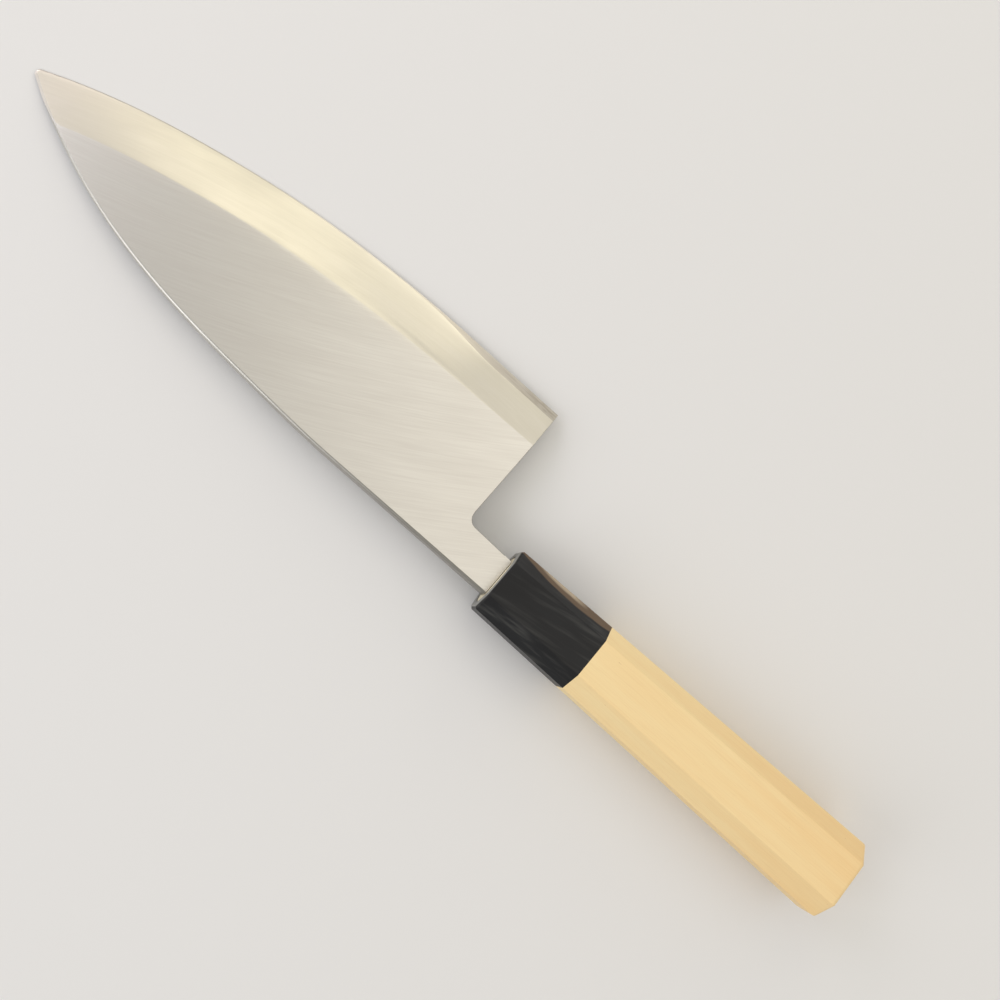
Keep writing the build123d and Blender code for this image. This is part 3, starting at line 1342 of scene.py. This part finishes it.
@dataclass(frozen=True)
class BuffaloHorn:
    """Black buffalo horn: faint slanting streaks, tan along one arris and a pale filed mouth with a
    painted highlight.
    """

    name: str = "buffalo_horn"
    black: str = "#1b1c1e"
    dark: str = "#141416"
    grey: str = "#4b4b49"
    tan: str = "#665442"
    blond: str = "#b3a48e"
    # Pale filed horn, made lighter still by a painted highlight of the mouth chamfer's reflection
    filed: str = "#8e8e8a"
    roughness: float = 0.42
    specular: float = 0.32
    clouds: Streaks = Streaks(6.0, 30.0, 0.35, 0.65)
    streaks: Streaks = Streaks(1.5, 22.0, 0.5, 0.85)
    streak_slant: float = -9.0
    # The tan follows the arris at this place, and its radius swells and shrinks from mouth to wood
    tan_place: tuple[float, float] = (-10.9, 4.3)
    tan_radius: tuple[float, float, float] = (0.6, 10.2, -8.4)
    tan_softness: float = 0.3
    tan_play: float = 0.45
    tan_waves: tuple[float, float, float] = (0.12, 0.5, 0.5)
    blond_depth: float = 2.0
    blond_end: float = -26.0
    blond_full: float = -20.0
    filed_and_highlight_depth: float = 0.25
    filed_and_highlight_softness: float = 0.1
    length: float = Ferrule.length

    def tan_depth(self, tree: Tree, place: Socket) -> Socket:
        """Measures how deep in the tan a place lies.

        Args:
            tree: The material's node tree.
            place: A point's place in the drawing.

        Returns:
            The socket of the depth in millimetres, below 0 outside the tan.
        """
        start, growth, bend = self.tan_radius
        share = share_along(tree, place, 0, -self.length)
        slope = add_node(
            tree, "ShaderNodeMath", {"operation": "MULTIPLY_ADD", 1: bend, 2: growth}, {0: share}
        )
        radius = add_node(
            tree, "ShaderNodeMath", {"operation": "MULTIPLY_ADD", 2: start},
            {0: slope.outputs[0], 1: share},
        )
        flat = add_node(
            tree, "ShaderNodeVectorMath", {"operation": "MULTIPLY", 1: (0, 1, 1)}, {0: place}
        )
        away = add_node(
            tree, "ShaderNodeVectorMath", {"operation": "DISTANCE", 1: (0, *self.tan_place)},
            {0: flat.outputs[0]},
        )
        depth = add_node(
            tree, "ShaderNodeMath", {"operation": "SUBTRACT"},
            {0: radius.outputs[0], 1: away.outputs["Value"]},
        )
        # Real horn changes its colour in waves, so the tan's border wanders a little
        wander = add_node(
            tree, "ShaderNodeMapRange", {"To Min": -self.tan_play, "To Max": self.tan_play},
            {0: stretched_noise(tree, place, self.tan_waves)},
        )
        wandering = add_node(
            tree, "ShaderNodeMath", {"operation": "ADD"}, {0: depth.outputs[0], 1: wander.outputs[0]}
        )
        return wandering.outputs[0]

    def make(self, lie: Matrix) -> Material:
        """Builds the material.

        Args:
            lie: The matrix from the drawing to the frame.

        Returns:
            The material.
        """
        material, tree, output = new_material(self.name)
        place = drawing_place(tree, lie)
        slanting = add_node(
            tree, "ShaderNodeMapping", {"Rotation": (0, 0, math.radians(self.streak_slant))},
            {"Vector": place},
        )
        clouds = self.clouds.draw(tree, slanting.outputs[0])
        streaks = self.streaks.draw(tree, slanting.outputs[0])
        lit = add_node(tree, "ShaderNodeMath", {"operation": "MULTIPLY"}, {0: clouds, 1: streaks})
        depth = self.tan_depth(tree, place)
        soft = self.tan_softness
        tanned = add_node(tree, "ShaderNodeMapRange", {"From Min": -soft, "From Max": soft}, {0: depth})
        fair = add_node(
            tree, "ShaderNodeMapRange",
            {"From Min": self.blond_depth - soft, "From Max": self.blond_depth + 2 * soft},
            {0: depth, "To Max": share_along(tree, place, self.blond_end, self.blond_full)},
        )
        # The mouth is left as the file cut it and its chamfer's reflection is painted on as a highlight,
        # so it shows as a pale rim round the black
        filed_and_highlight_start = -self.filed_and_highlight_depth - self.filed_and_highlight_softness
        mouth = share_along(tree, place, filed_and_highlight_start, self.filed_and_highlight_softness - self.filed_and_highlight_depth)
        colour = add_node(
            tree, "ShaderNodeMix", {"data_type": "RGBA", 6: linear(self.dark), 7: linear(self.black)},
            {0: clouds},
        )
        for strength, stain_or_painted_light in (
            (lit.outputs[0], self.grey),
            (tanned.outputs[0], self.tan),
            (fair.outputs[0], self.blond),
            (mouth, self.filed),
        ):
            colour = add_node(
                tree, "ShaderNodeMix", {"data_type": "RGBA", 7: linear(stain_or_painted_light)},
                {0: strength, 6: colour.outputs[2]},
            )
        shader = add_node(
            tree, "ShaderNodeBsdfPrincipled",
            {"Roughness": self.roughness, "Specular IOR Level": self.specular},
            {"Base Color": colour.outputs[2]},
        )
        tree.links.new(shader.outputs[0], output.inputs[0])
        return material


@dataclass(frozen=True)
class MagnoliaWood:
    """Bare magnolia wood, fine-sanded: pale yellow, with soft waves and fine fibres."""

    name: str = "magnolia_wood"
    pale: str = "#f8e1ad"
    ripe: str = "#f4d298"
    fibre: str = "#d6ab70"
    speck: str = "#a9753f"
    end_grain: str = "#c79a62"
    fresh: str = "#eee6cb"
    roughness: float = 0.55
    waves: Streaks = Streaks(5.0, 70.0, 0.35, 0.65)
    # Real fibres are under 0.1 mm wide and too fine to show, so they are drawn coarser
    fibres: Streaks = Streaks(0.35, 11.0, 0.45, 0.75)
    fibre_share: float = 0.15
    specks: Streaks = Streaks(0.45, 1.6, 0.77, 0.8)
    speck_share: float = 0.5
    front: float = -Ferrule.length
    butt: float = -136.0
    ripening: float = 0.6
    end_grain_start: float = -135.8
    end_grain_share: float = 0.6
    fresh_start: float = -1.5
    fresh_full: float = -1.0
    fresh_share: float = 0.9
    depth: float = 0.01

    def make(self, lie: Matrix) -> Material:
        """Builds the material.

        Args:
            lie: The matrix from the drawing to the frame.

        Returns:
            The material.
        """
        material, tree, output = new_material(self.name)
        place = drawing_place(tree, lie)
        fibres = self.fibres.draw(tree, place)
        tone = add_node(
            tree, "ShaderNodeMix", {"data_type": "FLOAT", 0: self.ripening},
            {2: self.waves.draw(tree, place), 3: share_along(tree, place, self.front, self.butt)},
        )
        colour = add_node(
            tree, "ShaderNodeMix", {"data_type": "RGBA", 6: linear(self.pale), 7: linear(self.ripe)},
            {0: tone.outputs[0]},
        )
        end_grain = share_along(tree, place, self.end_grain_start, self.butt)
        tenon = share_along(tree, place, self.fresh_start, self.fresh_full)
        for share, field, stain_or_painted_light in (
            (self.fibre_share, fibres, self.fibre),
            (self.speck_share, self.specks.draw(tree, place), self.speck),
            (self.end_grain_share, end_grain, self.end_grain),
            (self.fresh_share, tenon, self.fresh),
        ):
            part = add_node(tree, "ShaderNodeMath", {"operation": "MULTIPLY", 1: share}, {0: field})
            colour = add_node(
                tree, "ShaderNodeMix", {"data_type": "RGBA", 7: linear(stain_or_painted_light)},
                {0: part.outputs[0], 6: colour.outputs[2]},
            )
        bump = add_node(
            tree, "ShaderNodeBump", {"Strength": 1.0, "Distance": self.depth * MM, "invert": True},
            {"Height": fibres},
        )
        shader = add_node(
            tree, "ShaderNodeBsdfPrincipled", {"Roughness": self.roughness},
            {"Base Color": colour.outputs[2], "Normal": bump.outputs[0]},
        )
        tree.links.new(shader.outputs[0], output.inputs[0])
        return material


@dataclass(frozen=True)
class Softbox:
    """Square lamp with a diffuser, aimed at the knife."""

    name: str
    direction: tuple[float, float, float]
    distance: float
    size: float
    glow: float
    colour: str

    def place(self) -> None:
        """Hangs the lamp in its direction from the knife."""
        lamp = bpy.data.lights.new(self.name, "AREA")
        lamp.shape = "SQUARE"
        lamp.size = self.size
        lamp.energy = self.glow * math.pi * self.size**2
        lamp.color = linear(self.colour)[:3]
        holder = bpy.data.objects.new(self.name, lamp)
        towards = Vector(self.direction).normalized()
        holder.location = towards * self.distance
        holder.rotation_euler = towards.to_track_quat("Z", "Y").to_euler()
        bpy.context.scene.collection.objects.link(holder)


@dataclass
class Studio:
    """Pale floor, soft light and the camera of the photograph."""

    floor_size: float = 6.0
    floor_colour: str = "#e6e6e6"
    floor_roughness: float = 0.9
    room_colour: str = "#fffffb"
    room_strength: float = 0.4
    lens: float = 39.65
    sensor: float = 36.0
    camera_place: tuple[float, float, float] = (0.014911, 0.032857, 0.328261)
    camera_across: tuple[float, float, float] = (-0.7414, -0.65693, 0.13698)
    camera_up: tuple[float, float, float] = (0.66466, -0.747, 0.01498)
    lamps: tuple[Softbox, ...] = (
        Softbox("key_lamp", (0.411, -0.604, 0.682), 1.0, 0.4, 1.05, "#fff6db"),
        Softbox("low_lamp", (0.229, -0.927, 0.298), 1.0, 0.47, 1.72, "#fff7e4"),
        Softbox("side_lamp", (0.797, -0.471, 0.377), 1.0, 0.32, 2.25, "#fdf0f4"),
        Softbox("tip_lamp", (0.815, -0.063, 0.576), 1.0, 0.52, 1.8, "#f9f5ff"),
        Softbox("fill_lamp", (-0.289, -0.383, 0.877), 1.2, 1.3, 0.66, "#fff7ea"),
        Softbox("rim_lamp", (0.473, 0.708, 0.525), 1.1, 0.72, 2.1, "#fdfcff"),
        Softbox("handle_lamp", (-0.75, 0.25, 0.61), 1.2, 0.9, 1.1, "#fff6ea"),
    )

    def build(self) -> None:
        """Builds the floor, the room's light, the lamps and the camera."""
        self.lay_floor()
        self.light_room()
        for lamp in self.lamps:
            lamp.place()
        self.set_camera()
        bpy.context.scene.view_settings.view_transform = "Standard"

    def lay_floor(self) -> None:
        """Lays the plain pale floor that the knife rests on."""
        deselect_all()
        bpy.ops.mesh.primitive_plane_add(size=self.floor_size)
        floor = bpy.context.object
        floor.name = "floor"
        # Matt paper takes a soft shadow and mirrors nothing
        material, tree, output = new_material("floor_paper")
        shader = add_node(
            tree, "ShaderNodeBsdfPrincipled",
            {"Base Color": linear(self.floor_colour), "Roughness": self.floor_roughness},
        )
        tree.links.new(shader.outputs[0], output.inputs[0])
        floor.data.materials.append(material)

    def light_room(self) -> None:
        """Fills the room with even light."""
        world = bpy.data.worlds.new("room")
        world.use_nodes = True
        tree = world.node_tree
        tree.nodes.clear()
        output = add_node(tree, "ShaderNodeOutputWorld")
        light = add_node(
            tree, "ShaderNodeBackground",
            {"Color": linear(self.room_colour), "Strength": self.room_strength},
        )
        tree.links.new(light.outputs[0], output.inputs[0])
        bpy.context.scene.world = world

    def set_camera(self) -> None:
        """Stands the camera where the photograph was taken."""
        camera = bpy.data.cameras.new("camera")
        camera.lens = self.lens
        camera.sensor_width = self.sensor
        across, up = Vector(self.camera_across).normalized(), Vector(self.camera_up)
        back = across.cross(up).normalized()
        turn = Matrix((across, back.cross(across), back)).transposed()
        holder = bpy.data.objects.new("camera", camera)
        holder.matrix_world = Matrix.Translation(Vector(self.camera_place)) @ turn.to_4x4()
        bpy.context.scene.collection.objects.link(holder)
        bpy.context.scene.camera = holder


def whetted_steel(name: str, dark: str, light: str) -> Steel:
    """Describes the whetted finish of one steel of the bevel.

    Args:
        name: The material's name.
        dark: Its darker tone.
        light: Its lighter tone.

    Returns:
        The finish.
    """
    # Faint lines along the edge and a smoother face than the cheek's show that a stone laid it bare
    return Steel(
        name, dark, light, roughness=0.3, centre=(40.0, 300.0), radius=350.0, line_width=0.5,
        band_width=1.6, cloud_width=4.0, cloud_length=18.0, cloud_share=0.5, depth=0.0003,
    )


def steels() -> dict[Side, Steel]:
    """Describes how each side of the blade is finished.

    Returns:
        The finish of each side.
    """
    return {
        # Long arcs from the wheel, a few hundredths lighter and darker, make the cheek look ground
        Side.CHEEK: Steel("wheel_ground_steel", "#dfdbd4", "#e9e6df"),
        # A tone lighter than the cheek, so that the bevel reads as the polished band
        Side.BEVEL: whetted_steel("whetted_soft_steel", "#dfdacd", "#e7e2d6"),
        # Rougher and greyer than the bevel, so that the edge is seen as a line of its own
        Side.EDGE_BEVEL: HonedSteel(
            "honed_edge_steel", "#c2bcb2", "#d1ccc3", roughness=0.42, centre=(40.0, 300.0),
            radius=350.0, cloud_share=0.4, depth=0.0005,
        ),
        # Lines along the spine, a rougher and duller face than the cheek's, and painted shade towards
        # the neck
        Side.SPINE: FiledSteel(
            "filed_steel", "#cbc8c1", "#d5d3cc", roughness=0.4, centre=(20.0, -900.0), radius=900.0,
            line_length=8.0, depth=0.0015,
        ),
        # The flat rim of the back is whetted bright
        Side.RIM: Steel("whetted_back_steel", "#dad8d2", "#e4e2dd", roughness=0.24, depth=0.0002),
        # The hollow shows the wheel's lines crossing the blade
        Side.HOLLOW: Steel(
            "hollow_ground_steel", "#cbc8c2", "#dad7d2", roughness=0.3, centre=(-900.0, -20.0),
            radius=1000.0, line_length=20.0,
        ),
        # The tang went red hot into the wood, so it is left with black scale
        Side.TANG: Steel("scaled_steel", "#3a3632", "#55504a", roughness=0.6, depth=0.01),
    }


def main() -> None:
    """Builds the knife's pieces in order, and the studio round them."""
    logging.basicConfig(level=logging.INFO, format="%(name)s: %(message)s")
    blade = Blade()
    octagon = Octagon()
    ferrule = Ferrule()
    corner = octagon.front_corner - octagon.front_width / 2
    mouth_corner = Vector((-ferrule.mouth_chamfer, corner, -octagon.front_thickness / 2))
    lie = blade.axes(mouth_corner).to_frame()
    finishes = {side: steel.make(lie) for side, steel in steels().items()}
    # The hard steel takes a slightly duller face from the same stone
    edge_finish = whetted_steel("whetted_hard_steel", "#ddd8cb", "#e6e1d4").make(lie)
    pieces = blade.build(lie, finishes, edge_finish)
    # Sanded horn with a low shine is by far the darkest piece, and its tan arris breaks the black
    pieces.append(ferrule.build(lie, BuffaloHorn().make(lie)))
    # Bare wood has no gloss at all, so the handle looks pale, dry and soft beside the steel
    pieces.append(Handle().build(lie, MagnoliaWood().make(lie)))
    for piece in pieces:
        LOG.info("%s has %d faces", piece.name, len(piece.data.polygons))
    Studio().build()


if __name__ == "__main__":
    main()
